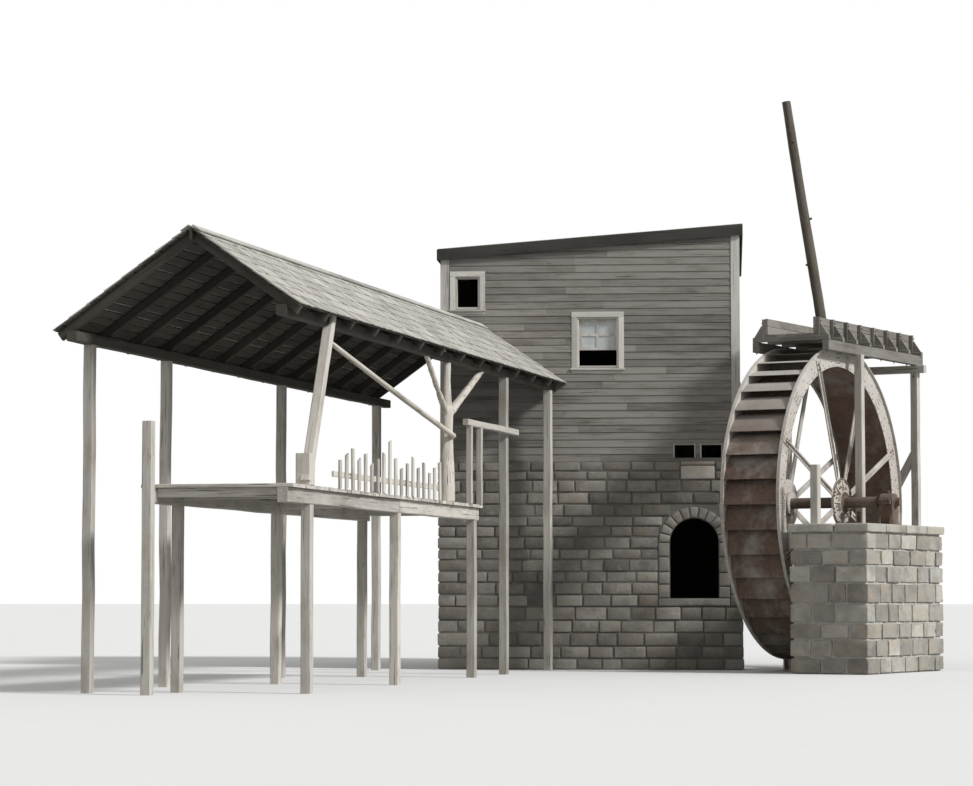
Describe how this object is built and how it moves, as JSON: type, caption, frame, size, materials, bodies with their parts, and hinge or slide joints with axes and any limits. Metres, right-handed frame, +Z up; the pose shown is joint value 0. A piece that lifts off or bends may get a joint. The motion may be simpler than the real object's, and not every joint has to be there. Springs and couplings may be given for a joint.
{
  "type": "watermill",
  "caption": "Small overshot watermill: boarded house on a stone base, bucketed steel wheel that turns on a stone pier, wooden flume and an open pole shed.",
  "frame": {"origin": "foot of the front foundation wall, in the middle of its length and thickness, at the lowest ground level", "axes": "+X right along the front wall, +Y away from the viewer into the house, +Z up"},
  "size_m": [12.6408, 22.0633, 10.7387],
  "materials": {
    "house_stone": "rough coursed stone",
    "pier_stone": "split blocks with pale mortar",
    "wall_boards": "weathered unpainted boards",
    "roof_cover": "weathered wood shingles",
    "timber": "weathered grey timber",
    "round_timber": "round timber with some bark",
    "pane": "old window glass",
    "wheel_steel": "rusted steel plate",
    "cast_parts": "rusty cast iron"
  },
  "bodies": {
    "root": {"foundation_front": "house_stone", "foundation_right": "house_stone", "foundation_left": "house_stone", "foundation_back": "house_stone", "wall_front": "wall_boards", "wall_right": "wall_boards", "wall_left": "wall_boards", "wall_back": "wall_boards", "main_floor": "timber", "roof": "roof_cover", "fascia": "timber", "corner_boards": "timber", "window_frames": "timber", "window_sashes": "timber", "window_glass": "pane", "door_frame": "timber", "outer_pier": "pier_stone", "pier_cap": "pier_stone", "stub_post": "timber", "outer_bearing": "cast_parts", "inner_bearing": "cast_parts", "flume_trough": "timber", "flume_stringers": "timber", "flume_posts": "timber", "flume_bent": "timber", "leaning_spar": "round_timber", "shed_underframe": "timber", "shed_deck": "timber", "shed_pickets": "timber", "shed_front_posts": "timber", "forked_post": "round_timber", "shed_rear_posts": "timber", "shed_plates": "timber", "shed_rafters": "timber", "shed_roof_front": "roof_cover", "shed_roof_rear": "roof_cover", "rail_pole": "round_timber", "deck_end_rail": "timber"},
    "wheel": {"wheel_shaft": "cast_parts", "near_spider": "cast_parts", "far_spider": "cast_parts", "near_shroud": "wheel_steel", "far_shroud": "wheel_steel", "sole_plate": "wheel_steel", "buckets": "wheel_steel"}
  },
  "joints": [
    {"name": "wheel_spin", "type": "hinge", "parent": "root", "child": "wheel", "pos_m": [3.96, -0.2, 2.93], "axis": [0.9063, -0.4226, 0], "continuous": true}
  ]
}
